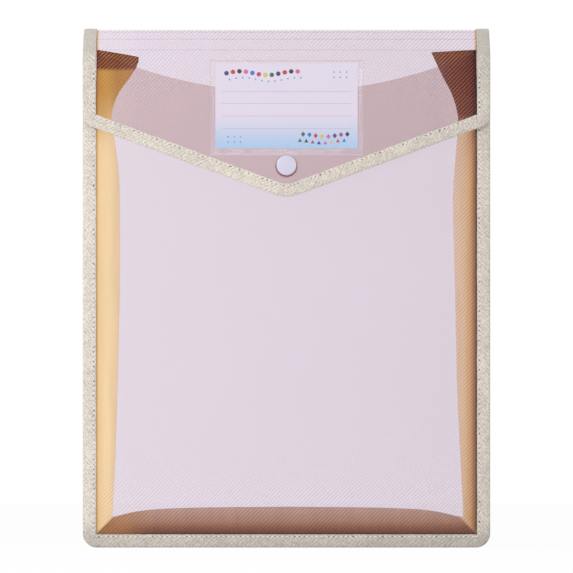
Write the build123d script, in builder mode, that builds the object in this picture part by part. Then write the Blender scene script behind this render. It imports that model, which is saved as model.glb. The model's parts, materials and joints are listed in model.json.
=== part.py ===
"""Envelope folder of pearly film: a pleated bag with a V flap, bound edges, a snap and a label pocket.

The origin is on the table under the middle of the folder. +Z is up, the flap faces -Y and X runs
along the width. Depths are counted forward, so a face at depth d lies at y = -d.
"""

import os
from math import asin, atan, atan2, cos, degrees, hypot, radians, sin, sqrt, tan

from build123d import *

os.makedirs("parts", exist_ok=True)

# Driving sizes, in millimetres and degrees

width = 258.0  # over the bound edges
height = 330.0  # from the table to the top fold
film = 0.5  # thickness of the bag's film
tape = 0.6  # thickness of the woven binding tape
tape_width = 8.3  # how far the tape reaches in from each edge
corner_radius = 9.0  # bottom corners, outside
tape_fold_radius = 0.6  # rounding of the tape where it turns over the edge

leaf_width = 26.0  # seam to fold of one gusset leaf
rest_angle = 53.0  # how steeply the leaves stand off the panels at rest
hinge_gap = 1.0  # from a panel's inner face to the line where the gusset turns
leaf_offset = 0.15  # each leaf's face from the plane through its two hinge lines
seam_gap = 0.5  # a leaf's edge from its seam line
fold_gap = 0.3  # a leaf's edge from its fold line
mitre_gap = 0.3  # a leaf's slanted end from the corner's diagonal

corner_drop = 12.0  # from the top fold down to the front panel's top corners
gusset_drop = 2.0  # from those corners down to the gusset's top edge
lean_height = 32.0  # of the leaning part under those corners
mouth_sag = 30.5  # how far the front panel's curved top edge dips between them
mouth_depth = 4.0  # what is left of the pleat's depth at the top corners

snap_film_gap = 2.4  # between the flap's film and the front panel's
roof_drop = 19.0  # from the top fold down to the flap's lowest crease
roof_turn = 26.0  # how much the creased roof curves between its end creases
roof_bands = 3  # creased bands between the back and the flap
crease_gap = 0.5  # left open along each crease

shoulder_radius = 8.5  # where the flap's sides meet its slanting edges
flap_slope = 20.3  # of the slanting edges
tip_radius = 25.0  # of the flap's blunt point
tip_gap = 4.96  # from the snap's cap down to the tape across that point

cap_radius = 6.4  # the snap's domed cap
cap_height = 2.4
cap_rim = 0.9  # straight edge of the cap under its dome
disc_radius = 5.5  # the snap's discs on the inner sides
prong_radius = 1.2
prong_clearance = 0.1
socket_base = 0.5
socket_wall = 1.2
socket_bore_radius = 2.7
stud_base = 0.4
stud_knob_radius = 2.1
stud_waist_radius = 1.7
stud_height = 1.2
stud_cap_height = 1.3

pocket_drop = 2.0  # from the flap's crease down to the pocket's open top
pocket_gap = 0.6  # from the pocket down to the snap's cap
pocket_film = 0.3
pocket_weld = 2.2  # the flat welded border, sides and bottom
pocket_wall = 1.2  # from that border in to the card's space
pocket_lip = 2.3  # how far the pocket stands up past the card
pocket_slope = 30.0  # of the raised window's sides
card_width = 90.0
card_height = 54.0
card_thickness = 0.4
card_play = 0.3  # all round the card in its pocket

# Places that follow from them, from the back to the front

half_width = width / 2
half_film = film / 2
bound_half = half_film + tape  # from the middle of a single film to its tape's outer face
seam_x = half_width - tape_width
pleat_depth = 2 * leaf_width * sin(radians(rest_angle))
overall_depth = tape + film + 2 * hinge_gap + pleat_depth + film + snap_film_gap + film + cap_height

back_rear = -overall_depth / 2  # outer face of the back's tape
back_film = back_rear + tape
back_seam = back_film + film
back_hinge = back_seam + hinge_gap
front_hinge = back_hinge + pleat_depth
front_film = front_hinge + hinge_gap
front_seam = front_film - film
front_rear = front_seam - tape
flap_film = front_film + film + snap_film_gap
flap_face = flap_film + film

mouth_corner = height - corner_drop
mouth_gusset_top = mouth_corner - gusset_drop
mouth_start = mouth_corner - lean_height
mouth_low = mouth_corner - mouth_sag
mouth_lean = atan((pleat_depth - mouth_depth) / (mouth_corner - mouth_start))

crease_top = height - bound_half
roof_front = height - roof_drop
roof_span = flap_film - back_film
roof_chord = hypot(roof_span, crease_top - roof_front)
roof_slope = degrees(atan2(crease_top - roof_front, roof_span))
band_turn = roof_turn / roof_bands
band_slopes = [roof_slope + (n - (roof_bands - 1) / 2) * band_turn for n in range(roof_bands)]
band_width = roof_chord / sum(cos(radians(slope - roof_slope)) for slope in band_slopes)
creases = [(back_film + half_film, crease_top)]
for slope in band_slopes:
    depth, level = creases[-1]
    creases.append(
        (depth + band_width * cos(radians(slope)), level - band_width * sin(radians(slope)))
    )
crease_bends = [90 + band_slopes[0]] + [band_turn] * (roof_bands - 1) + [90 - band_slopes[-1]]

# Down the flap: the pocket hangs under its crease, the snap under the pocket, the point under the snap

pocket_border = pocket_weld + pocket_wall + card_play
pocket_width = card_width + 2 * pocket_border
pocket_height = card_height + pocket_border + pocket_lip
pocket_base = roof_front - pocket_drop - pocket_height
card_bottom = pocket_base + pocket_border
snap_height = pocket_base - pocket_gap - cap_radius
blunting = tip_radius * (1 / cos(radians(flap_slope)) - 1)  # what the round point loses of the sharp one
tip_height = snap_height - cap_radius - tip_gap - tape_width - blunting
shoulder_height = tip_height + half_width * tan(radians(flap_slope))

snap_profile = Plane(origin=(0, 0, snap_height), x_dir=(0, -1, 0), z_dir=(-1, 0, 0))
snap_axis = Axis((0, 0, snap_height), (0, -1, 0))


def setback(bend, half_thickness):
    """How far a sheet stops short of a crease, so that its inner corners stay apart."""
    return half_thickness * tan(radians(bend / 2)) + crease_gap / 2


def sheet_outline(inset, top):
    """The bag's outline with round bottom corners, drawn in by inset and cut off level at top."""
    radius = corner_radius - inset
    with BuildSketch() as outline:
        with Locations((0, (inset + top) / 2)):
            Rectangle(width - 2 * inset, top - inset)
        if radius > 0:
            fillet(outline.vertices().group_by(Axis.Y)[0], radius)
    return outline.sketch


def flap_outline(inset, top):
    """The flap's outline: straight sides, round shoulders and a blunt V, cut off level at top."""
    with BuildSketch() as outline:
        with BuildLine():
            Polyline(
                (-half_width, top + tape_width),
                (-half_width, shoulder_height),
                (0, tip_height),
                (half_width, shoulder_height),
                (half_width, top + tape_width),
                close=True,
            )
        make_face()
        corners = outline.vertices().sort_by(Axis.Y)
        fillet(corners[0], tip_radius)
        corners = outline.vertices().filter_by_position(Axis.Y, shoulder_height - 1, shoulder_height + 1)
        fillet(corners, shoulder_radius)
        if inset:
            offset(amount=-inset)
        with Locations((0, top + tape_width)):
            Rectangle(2 * width, 2 * tape_width, mode=Mode.SUBTRACT)
    return outline.sketch


def bound_edge(outline, rear, stack, top):
    """Tape folded over the edge of a stack of films: a channel that follows an outline."""
    depth = stack + 2 * tape
    with BuildPart() as binding:
        with BuildSketch(Plane.XZ.offset(rear)):
            add(outline(0, top))
        extrude(amount=depth)
        rims = binding.faces().filter_by(Axis.Y).edges()
        fillet(rims.filter_by_position(Axis.Z, -height, top - tape), tape_fold_radius)
        with BuildSketch(Plane.XZ.offset(rear + tape)):
            add(outline(tape, top))
        extrude(amount=stack, mode=Mode.SUBTRACT)
        with BuildSketch(Plane.XZ.offset(rear)):
            add(outline(tape_width, top))
        extrude(amount=depth, mode=Mode.SUBTRACT)
    return binding.part


def seam_strip(rear, top):
    """The gusset's sewn margin, which lies under the tape beside a panel."""
    with BuildPart() as strip:
        with BuildSketch(Plane.XZ.offset(rear)):
            add(sheet_outline(tape, top))
            add(sheet_outline(tape_width, top), mode=Mode.SUBTRACT)
        extrude(amount=film)
    return strip.part


def side_leaf(hinge_depth, forward):
    """One flat leaf of the left gusset, from its seam to the fold; forward is 1 or -1."""
    away = 1 if forward < 0 else -1
    across = Vector(cos(radians(rest_angle)), -forward * sin(radians(rest_angle)), 0)
    plane = Plane(
        origin=(-seam_x, -hinge_depth, 0), x_dir=across, z_dir=across.cross(Vector(0, 0, 1))
    )
    with BuildPart() as leaf:
        with BuildSketch(plane.offset(away * (leaf_offset + half_film))):
            with BuildLine():
                Polyline(
                    (seam_gap, tape_width + seam_gap + mitre_gap),
                    (leaf_width - fold_gap, tape_width + leaf_width - fold_gap + mitre_gap),
                    (leaf_width - fold_gap, mouth_start),
                    (seam_gap, mouth_start),
                    close=True,
                )
            make_face()
        extrude(amount=half_film, both=True)
    return leaf.part


def bottom_leaf(hinge_depth, forward):
    """One flat leaf of the bottom gusset, with slanted ends; forward is 1 or -1."""
    away = 1 if forward < 0 else -1
    lean = radians(rest_angle)
    plane = Plane(
        origin=(0, -hinge_depth, tape_width),
        x_dir=(1, 0, 0),
        z_dir=(0, -cos(lean), -forward * sin(lean)),
    )
    near_end = seam_x - seam_gap - mitre_gap
    far_end = seam_x - leaf_width + fold_gap - mitre_gap
    with BuildPart() as leaf:
        with BuildSketch(plane.offset(away * (leaf_offset + half_film))):
            with BuildLine():
                Polyline(
                    (-near_end, seam_gap),
                    (near_end, seam_gap),
                    (far_end, leaf_width - fold_gap),
                    (-far_end, leaf_width - fold_gap),
                    close=True,
                )
            make_face()
        extrude(amount=half_film, both=True)
    return leaf.part


def pleat_section(level):
    """Corners of the left pleat's cross-section at one height in the mouth, as (x, y)."""
    front = front_hinge - (level - mouth_start) * tan(mouth_lean)
    half_depth = (front - back_hinge) / 2
    lean = asin(half_depth / leaf_width)
    fold = (-seam_x + sqrt(leaf_width**2 - half_depth**2), -(back_hinge + half_depth))
    back_step = (film * sin(lean), film * cos(lean))
    front_step = (film * sin(lean), -film * cos(lean))
    back_seam_point = (-seam_x, -back_hinge)
    front_seam_point = (-seam_x, -front)

    def shift(point, step):
        return (point[0] + step[0], point[1] + step[1])

    return [
        back_seam_point,
        fold,
        front_seam_point,
        shift(front_seam_point, front_step),
        shift(fold, front_step),
        shift(fold, back_step),
        shift(back_seam_point, back_step),
    ]


def creased_pleat(bottom, top):
    """The left pleat between two levels, each leaf creased from its seam's foot to its fold's head."""
    low = [Vector(x, y, bottom) for x, y in pleat_section(bottom)]
    high = [Vector(x, y, top) for x, y in pleat_section(top)]
    fold_corners = (1, 4, 5)
    faces = [Face(Wire.make_polygon(low)), Face(Wire.make_polygon(high))]
    for n in range(len(low)):
        after = (n + 1) % len(low)
        foot, head = (after, n) if n in fold_corners else (n, after)
        faces.append(Face(Wire.make_polygon([low[foot], low[head], high[head]])))
        faces.append(Face(Wire.make_polygon([low[foot], high[head], high[foot]])))
    return Solid(Shell(faces))


def roof_plane(crease, slope):
    """The plane of a roof band or the flap, on a crease, its y axis pointing back up the slope."""
    depth, level = crease
    lean = radians(slope)
    return Plane(origin=(0, -depth, level), x_dir=(1, 0, 0), z_dir=(0, -sin(lean), cos(lean)))


def finish(piece, name):
    """Names a piece and writes it."""
    piece.label = name
    export_step(piece, f"parts/{name}.step")


# Back: one sheet up to the first crease, its gusset seam and its tape

with BuildPart() as back_panel:
    with BuildSketch(Plane.XZ.offset(back_film)):
        add(sheet_outline(tape, crease_top - setback(crease_bends[0], half_film)))
    extrude(amount=film)
finish(back_panel.part, "back_panel")

with BuildPart() as gusset_back_seam:
    add(seam_strip(back_seam, mouth_gusset_top))
finish(gusset_back_seam.part, "gusset_back_seam")

with BuildPart() as back_binding:
    add(bound_edge(sheet_outline, back_rear, 2 * film, crease_top - setback(crease_bends[0], bound_half)))
finish(back_binding.part, "back_binding")

# Front: its panel up to where the mouth leans back, gusset seam and tape

front_edge_top = mouth_start - setback(degrees(mouth_lean), film + tape + half_film)

with BuildPart() as front_panel:
    with BuildSketch(Plane.XZ.offset(front_film)):
        add(sheet_outline(tape, mouth_start - setback(degrees(mouth_lean), half_film)))
        with Locations((0, snap_height)):
            Circle(prong_radius + prong_clearance, mode=Mode.SUBTRACT)
    extrude(amount=film)
finish(front_panel.part, "front_panel")

with BuildPart() as gusset_front_seam:
    add(seam_strip(front_seam, front_edge_top))
finish(gusset_front_seam.part, "gusset_front_seam")

with BuildPart() as front_binding:
    add(bound_edge(sheet_outline, front_rear, 2 * film, front_edge_top))
finish(front_binding.part, "front_binding")

# Gusset leaves: a back and a front leaf on each side and at the bottom, in a V that points inward

with BuildPart() as gusset_left_back:
    add(side_leaf(back_hinge, 1))
finish(gusset_left_back.part, "gusset_left_back")

with BuildPart() as gusset_left_front:
    add(side_leaf(front_hinge, -1))
finish(gusset_left_front.part, "gusset_left_front")

with BuildPart() as gusset_right_back:
    mirror(gusset_left_back.part, about=Plane.YZ)
finish(gusset_right_back.part, "gusset_right_back")

with BuildPart() as gusset_right_front:
    mirror(gusset_left_front.part, about=Plane.YZ)
finish(gusset_right_front.part, "gusset_right_front")

with BuildPart() as gusset_bottom_back:
    add(bottom_leaf(back_hinge, 1))
finish(gusset_bottom_back.part, "gusset_bottom_back")

with BuildPart() as gusset_bottom_front:
    add(bottom_leaf(front_hinge, -1))
finish(gusset_bottom_front.part, "gusset_bottom_front")

# Mouth: the front panel's winged top leans back to the back panel, and the pleats flatten with it

mouth_plane = Plane(
    origin=(0, -(front_film + half_film), mouth_start),
    x_dir=(1, 0, 0),
    z_dir=(0, -cos(mouth_lean), sin(mouth_lean)),
)
wing_start = setback(degrees(mouth_lean), half_film)
wing_middle = (mouth_low - mouth_start) / cos(mouth_lean)
wing_corner = (mouth_corner - mouth_start) / cos(mouth_lean)
wing_tape_start = setback(degrees(mouth_lean), film + tape + half_film)


def wing_outline(inset, start):
    """The leaning top of the front panel, under its curved edge and drawn in at the sides."""
    with BuildSketch() as outline:
        with BuildLine():
            edge = ThreePointArc(
                (-half_width, wing_corner), (0, wing_middle), (half_width, wing_corner)
            )
            Polyline(edge @ 1, (half_width, 0), (-half_width, 0), edge @ 0)
        make_face()
        with Locations((0, start / 2)):
            Rectangle(2 * width, start, mode=Mode.SUBTRACT)
        with Locations((0, wing_corner / 2)):
            Rectangle(width - 2 * inset, 2 * wing_corner, mode=Mode.INTERSECT)
    return outline.sketch


with BuildPart() as front_mouth_panel:
    with BuildSketch(mouth_plane):
        add(wing_outline(tape, wing_start))
    extrude(amount=half_film, both=True)
finish(front_mouth_panel.part, "front_mouth_panel")

with BuildPart() as front_mouth_tapes:
    with BuildSketch(mouth_plane.offset(-half_film - film - tape)):
        add(wing_outline(0, wing_tape_start))
        add(wing_outline(tape_width, wing_tape_start), mode=Mode.SUBTRACT)
    extrude(amount=2 * film + 2 * tape)
    with BuildSketch(mouth_plane.offset(-half_film - film)):
        add(wing_outline(tape, 0))
    extrude(amount=2 * film, mode=Mode.SUBTRACT)
finish(front_mouth_tapes.part, "front_mouth_tapes")

with BuildPart() as gusset_left_mouth:
    add(creased_pleat(mouth_start + mitre_gap, mouth_gusset_top))
finish(gusset_left_mouth.part, "gusset_left_mouth")

with BuildPart() as gusset_right_mouth:
    mirror(gusset_left_mouth.part, about=Plane.YZ)
finish(gusset_right_mouth.part, "gusset_right_mouth")

# Roof: creased bands of the same sheet as the back, each with its two lengths of tape

for n, slope in enumerate(band_slopes):
    plane = roof_plane(creases[n], slope)
    upper = setback(crease_bends[n], half_film)
    lower = band_width - setback(crease_bends[n + 1], half_film)
    with BuildPart() as band:
        with BuildSketch(plane):
            with Locations((0, -(upper + lower) / 2)):
                Rectangle(width - 2 * tape, lower - upper)
        extrude(amount=half_film, both=True)
    finish(band.part, f"roof_band_{n + 1}")

    upper = setback(crease_bends[n], bound_half)
    lower = band_width - setback(crease_bends[n + 1], bound_half)
    with BuildPart() as band_tapes:
        with BuildSketch(plane):
            with Locations((0, -(upper + lower) / 2)):
                Rectangle(width, lower - upper)
        extrude(amount=bound_half, both=True)
        sides = band_tapes.faces().sort_by(Axis.X)
        rims = sides[0].edges() + sides[-1].edges()
        fillet(rims.filter_by(lambda edge: abs((edge % 0.5).dot(plane.y_dir)) > 0.9), tape_fold_radius)
        with BuildSketch(plane):
            with Locations((0, -band_width / 2)):
                Rectangle(width - 2 * tape, 2 * band_width)
        extrude(amount=half_film, both=True, mode=Mode.SUBTRACT)
        with BuildSketch(plane):
            with Locations((0, -band_width / 2)):
                Rectangle(width - 2 * tape_width, 2 * band_width)
        extrude(amount=bound_half, both=True, mode=Mode.SUBTRACT)
    finish(band_tapes.part, f"roof_tapes_{n + 1}")

# Flap: the V-shaped end of the sheet, its tape and the snap's outer half

with BuildPart() as flap_panel:
    with BuildSketch(Plane.XZ.offset(flap_film)):
        add(flap_outline(tape, roof_front - setback(crease_bends[-1], half_film)))
        with Locations((0, snap_height)):
            Circle(prong_radius + prong_clearance, mode=Mode.SUBTRACT)
    extrude(amount=film)
finish(flap_panel.part, "flap_panel")

with BuildPart() as flap_binding:
    add(bound_edge(flap_outline, flap_film - tape, film, roof_front - setback(crease_bends[-1], bound_half)))
finish(flap_binding.part, "flap_binding")

with BuildPart() as snap_cap:
    with BuildSketch(snap_profile):
        with BuildLine():
            foot = Line((flap_face, 0), (flap_face, cap_radius))
            rim = Line(foot @ 1, (flap_face + cap_rim, cap_radius))
            RadiusArc(
                rim @ 1,
                (flap_face + cap_height, 0),
                (cap_radius**2 + (cap_height - cap_rim) ** 2) / (2 * (cap_height - cap_rim)),
            )
            Line((flap_face + cap_height, 0), foot @ 0)
        make_face()
        with Locations(((flap_film - socket_base + flap_face) / 2, prong_radius / 2)):
            Rectangle(film + socket_base, prong_radius)
    revolve(axis=snap_axis)
finish(snap_cap.part, "snap_cap")

with BuildPart() as snap_socket:
    with BuildSketch(snap_profile):
        with BuildLine():
            Polyline(
                (flap_film, prong_radius + prong_clearance),
                (flap_film, disc_radius),
                (flap_film - socket_base, disc_radius),
                (flap_film - socket_base - socket_wall, disc_radius - socket_wall),
                (flap_film - socket_base - socket_wall, socket_bore_radius),
                (flap_film - socket_base, socket_bore_radius),
                (flap_film - socket_base, prong_radius + prong_clearance),
                close=True,
            )
        make_face()
    revolve(axis=snap_axis)
finish(snap_socket.part, "snap_socket")

# Snap: the inner half, a stud on the front panel and its disc behind

stud_face = front_film + film

with BuildPart() as snap_stud:
    with BuildSketch(snap_profile):
        with BuildLine():
            Polyline(
                (stud_face, prong_radius + prong_clearance),
                (stud_face, disc_radius),
                (stud_face + stud_base, disc_radius - stud_base),
                (stud_face + stud_base, stud_waist_radius),
                (stud_face + stud_base + stud_height / 2, stud_knob_radius),
                (stud_face + stud_base + stud_height, stud_waist_radius),
                (stud_face + stud_base + stud_height, prong_radius + prong_clearance),
                close=True,
            )
        make_face()
    revolve(axis=snap_axis)
finish(snap_stud.part, "snap_stud")

with BuildPart() as snap_stud_cap:
    with BuildSketch(snap_profile):
        with Locations((front_film - stud_cap_height / 2, disc_radius / 2)):
            Rectangle(stud_cap_height, disc_radius)
        with Locations((front_film + (film + stud_base) / 2, prong_radius / 2)):
            Rectangle(film + stud_base, prong_radius)
    revolve(axis=snap_axis)
    fillet(snap_stud_cap.edges().group_by(Axis.Y)[-1], stud_cap_height / 2)
finish(snap_stud_cap.part, "snap_stud_cap")

# Label pocket: a clear window welded to the flap on three sides and open at the top, and its card

cavity_depth = card_thickness + 2 * card_play
cavity_width = card_width + 2 * card_play

with BuildPart() as label_pocket:
    with BuildSketch(Plane.XZ.offset(flap_face)):
        with Locations((0, pocket_base + pocket_height / 2)):
            Rectangle(pocket_width, pocket_height)
    extrude(amount=pocket_film)
    with BuildSketch(Plane.XZ.offset(flap_face)):
        with Locations((0, pocket_base + (pocket_height + pocket_weld) / 2)):
            Rectangle(pocket_width - 2 * pocket_weld, pocket_height - pocket_weld)
    extrude(amount=cavity_depth + pocket_film, taper=pocket_slope)
    with BuildSketch(Plane.XZ.offset(flap_face)):
        with Locations((0, card_bottom - card_play + pocket_height / 2)):
            Rectangle(cavity_width, pocket_height)
    extrude(amount=cavity_depth, mode=Mode.SUBTRACT)
finish(label_pocket.part, "label_pocket")

with BuildPart() as label_card:
    with BuildSketch(Plane.XZ.offset(flap_face + card_play)):
        with Locations((0, card_bottom + card_height / 2)):
            Rectangle(card_width, card_height)
    extrude(amount=card_thickness)
finish(label_card.part, "label_card")
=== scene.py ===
"""The looks of the envelope folder: film, woven tape, stitching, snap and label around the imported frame."""

import json
import math

import bmesh
import bpy
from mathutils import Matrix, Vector, noise


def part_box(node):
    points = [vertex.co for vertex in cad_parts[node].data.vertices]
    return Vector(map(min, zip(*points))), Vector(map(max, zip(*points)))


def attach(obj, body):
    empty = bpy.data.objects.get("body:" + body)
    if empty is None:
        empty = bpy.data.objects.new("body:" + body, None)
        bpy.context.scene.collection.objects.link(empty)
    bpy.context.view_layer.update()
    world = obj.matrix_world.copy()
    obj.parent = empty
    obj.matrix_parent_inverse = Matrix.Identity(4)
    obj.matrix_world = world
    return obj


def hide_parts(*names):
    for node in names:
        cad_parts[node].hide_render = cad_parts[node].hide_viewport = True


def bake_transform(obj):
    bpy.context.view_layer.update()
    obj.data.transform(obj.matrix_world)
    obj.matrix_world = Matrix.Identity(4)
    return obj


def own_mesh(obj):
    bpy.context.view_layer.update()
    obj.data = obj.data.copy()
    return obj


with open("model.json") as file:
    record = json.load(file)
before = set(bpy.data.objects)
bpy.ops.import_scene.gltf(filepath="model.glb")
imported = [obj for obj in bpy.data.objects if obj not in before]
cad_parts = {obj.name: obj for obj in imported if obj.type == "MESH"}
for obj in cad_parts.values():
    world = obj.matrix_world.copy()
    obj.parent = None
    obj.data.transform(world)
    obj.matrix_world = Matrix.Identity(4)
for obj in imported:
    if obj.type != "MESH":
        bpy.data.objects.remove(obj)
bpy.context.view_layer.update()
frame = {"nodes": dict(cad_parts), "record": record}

MM = 0.001

# Places read from the frame

joints = {j["name"]: j for j in frame["record"]["behaviour"]["joints"]}


def joint_at(name):
    return Vector(joints[name]["pos_m"])


half_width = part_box("back_binding")[1][0]
back_seam_y = joint_at("left_back_seam").y
front_seam_y = joint_at("left_front_seam").y
seam_x = abs(joint_at("left_back_seam").x)
tape_width = half_width - seam_x
back_y = sum(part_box("back_panel")[i][1] for i in (0, 1)) / 2
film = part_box("back_panel")[1][1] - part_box("back_panel")[0][1]
front_y = sum(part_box("front_panel")[i][1] for i in (0, 1)) / 2
flap_y = sum(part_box("flap_panel")[i][1] for i in (0, 1)) / 2
flap_front_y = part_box("flap_panel")[0][1]
tape = half_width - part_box("back_panel")[1][0]
creases = [joint_at(name) for name in ("flap_open", "crease_2", "crease_3", "crease_4")]
mouth_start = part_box("gusset_left_back")[1][2]
snap_z = (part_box("snap_cap")[0][2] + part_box("snap_cap")[1][2]) / 2
tip_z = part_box("flap_binding")[0][2]
pocket_low, pocket_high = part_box("label_pocket")
card_low, card_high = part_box("label_card")

# Sizes of the soft forms

corner_radius = 9 * MM
shoulder_radius = 8.5 * MM
shoulder_z = 268.4 * MM
flap_slope = math.radians(20.3)
tip_radius = 25 * MM
crease_radius = 1.2 * MM
mouth_bend_radius = 16 * MM
mouth_low = 287.5 * MM
mouth_corner = 318 * MM
mouth_lean = math.radians(49.55)


# Mesh helpers


def new_object(name, vertices, faces, smooth=True, uvs=None):
    mesh = bpy.data.meshes.new(name)
    mesh.from_pydata([tuple(v) for v in vertices], [], faces)
    mesh.validate()
    if smooth:
        mesh.polygons.foreach_set("use_smooth", [True] * len(mesh.polygons))
    if uvs is not None:
        layer = mesh.uv_layers.new(name="along")
        for loop in mesh.loops:
            layer.data[loop.index].uv = uvs[loop.vertex_index]
    mesh.update()
    obj = bpy.data.objects.new(name, mesh)
    bpy.context.scene.collection.objects.link(obj)
    return obj


def outward(obj):
    """Turns all faces outward."""
    bm = bmesh.new()
    bm.from_mesh(obj.data)
    bmesh.ops.recalc_face_normals(bm, faces=bm.faces)
    bm.to_mesh(obj.data)
    bm.free()


def sharpen(obj, angle=35):
    """Keeps edges steeper than angle crisp under smooth shading."""
    bm = bmesh.new()
    bm.from_mesh(obj.data)
    limit = math.radians(angle)
    for edge in bm.edges:
        if len(edge.link_faces) == 2 and edge.calc_face_angle(0) > limit:
            edge.smooth = False
    bm.to_mesh(obj.data)
    bm.free()


def swept(name, rings, uvs=None):
    """A closed solid through rings of equal length, with flat ends."""
    count = len(rings[0])
    vertices = [p for ring in rings for p in ring]
    faces = []
    for i in range(len(rings) - 1):
        for k in range(count):
            a, b = i * count + k, i * count + (k + 1) % count
            faces.append((a, b, b + count, a + count))
    faces.append(tuple(range(count))[::-1])
    faces.append(tuple((len(rings) - 1) * count + k for k in range(count)))
    flat = [uv for ring in uvs for uv in ring] if uvs else None
    obj = new_object(name, vertices, faces, uvs=flat)
    outward(obj)
    sharpen(obj)
    return obj


def plate(name, xs, low, high, place, rows):
    """A thin closed sheet: columns at xs run from low(x) to high(x), and place gives point and normal."""
    top, bottom = [], []
    for x in xs:
        a, b = low(x), high(x)
        for r in range(rows + 1):
            point, normal = place(x, a + (b - a) * r / rows)
            top.append(point + normal * film / 2)
            bottom.append(point - normal * film / 2)
    n, m = len(xs), rows + 1
    size = n * m
    faces = []
    for i in range(n - 1):
        for k in range(rows):
            a = i * m + k
            quad = (a, a + m, a + m + 1, a + 1)
            faces.append(quad)
            faces.append(tuple(size + v for v in reversed(quad)))
    rim = (
        [i * m for i in range(n)]
        + [(n - 1) * m + k for k in range(1, m)]
        + [i * m + rows for i in range(n - 2, -1, -1)]
        + [k for k in range(rows - 1, 0, -1)]
    )
    for i, a in enumerate(rim):
        b = rim[(i + 1) % len(rim)]
        faces.append((a, b, size + b, size + a))
    obj = new_object(name, top + bottom, faces)
    outward(obj)
    sharpen(obj)
    return obj


def lathe(name, profile, centre, steps=64):
    """A solid turned about the line through centre along Y; profile is (radius, forward) pairs."""
    vertices, faces = [], []
    count = len(profile)
    for s in range(steps):
        a = 2 * math.pi * s / steps
        for radius, forward in profile:
            vertices.append(Vector(centre) + Vector((radius * math.cos(a), -forward, radius * math.sin(a))))
    for s in range(steps):
        t = (s + 1) % steps
        for k in range(count - 1):
            faces.append((s * count + k, s * count + k + 1, t * count + k + 1, t * count + k))
    obj = new_object(name, vertices, faces)
    bm = bmesh.new()
    bm.from_mesh(obj.data)
    bmesh.ops.remove_doubles(bm, verts=bm.verts, dist=1e-6)
    bmesh.ops.recalc_face_normals(bm, faces=bm.faces)
    bm.to_mesh(obj.data)
    bm.free()
    sharpen(obj, 40)
    return obj


def turned(way, angle):
    """A 2D vector turned anticlockwise."""
    c, s = math.cos(angle), math.sin(angle)
    return Vector((way.x * c - way.y * s, way.x * s + way.y * c))


def rounded_path(points, radii, step):
    """Samples (point, tangent, distance) along a path of straight runs joined by tangent arcs, in 2D."""
    samples, travelled = [], 0.0

    def emit(point, tangent):
        nonlocal travelled
        if samples:
            gap = (point - samples[-1][0]).length
            if gap < 1e-7:
                return
            travelled += gap
        samples.append((point.copy(), tangent.copy(), travelled))

    def straight(a, b):
        length = (b - a).length
        count = max(1, round(length / step))
        for i in range(count + 1):
            emit(a.lerp(b, i / count), (b - a).normalized())

    start = points[0]
    for i in range(1, len(points) - 1):
        before, corner, after = points[i - 1], points[i], points[i + 1]
        d0, d1 = (corner - before).normalized(), (after - corner).normalized()
        bend = d0.angle(d1)
        radius = radii[i - 1]
        trim = radius * math.tan(bend / 2)
        a, b = corner - d0 * trim, corner + d1 * trim
        straight(start, a)
        side = 1 if d0.x * d1.y - d0.y * d1.x > 0 else -1
        centre = a + Vector((-d0.y, d0.x)) * side * radius
        arm = a - centre
        count = max(6, round(radius * bend / step * 2))
        for k in range(1, count):
            turn = side * bend * k / count
            emit(centre + turned(arm, turn), turned(d0, turn))
        start = b
    straight(start, points[-1])
    return samples


# Materials

RIB_PERIOD = 2.6 * MM


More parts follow.
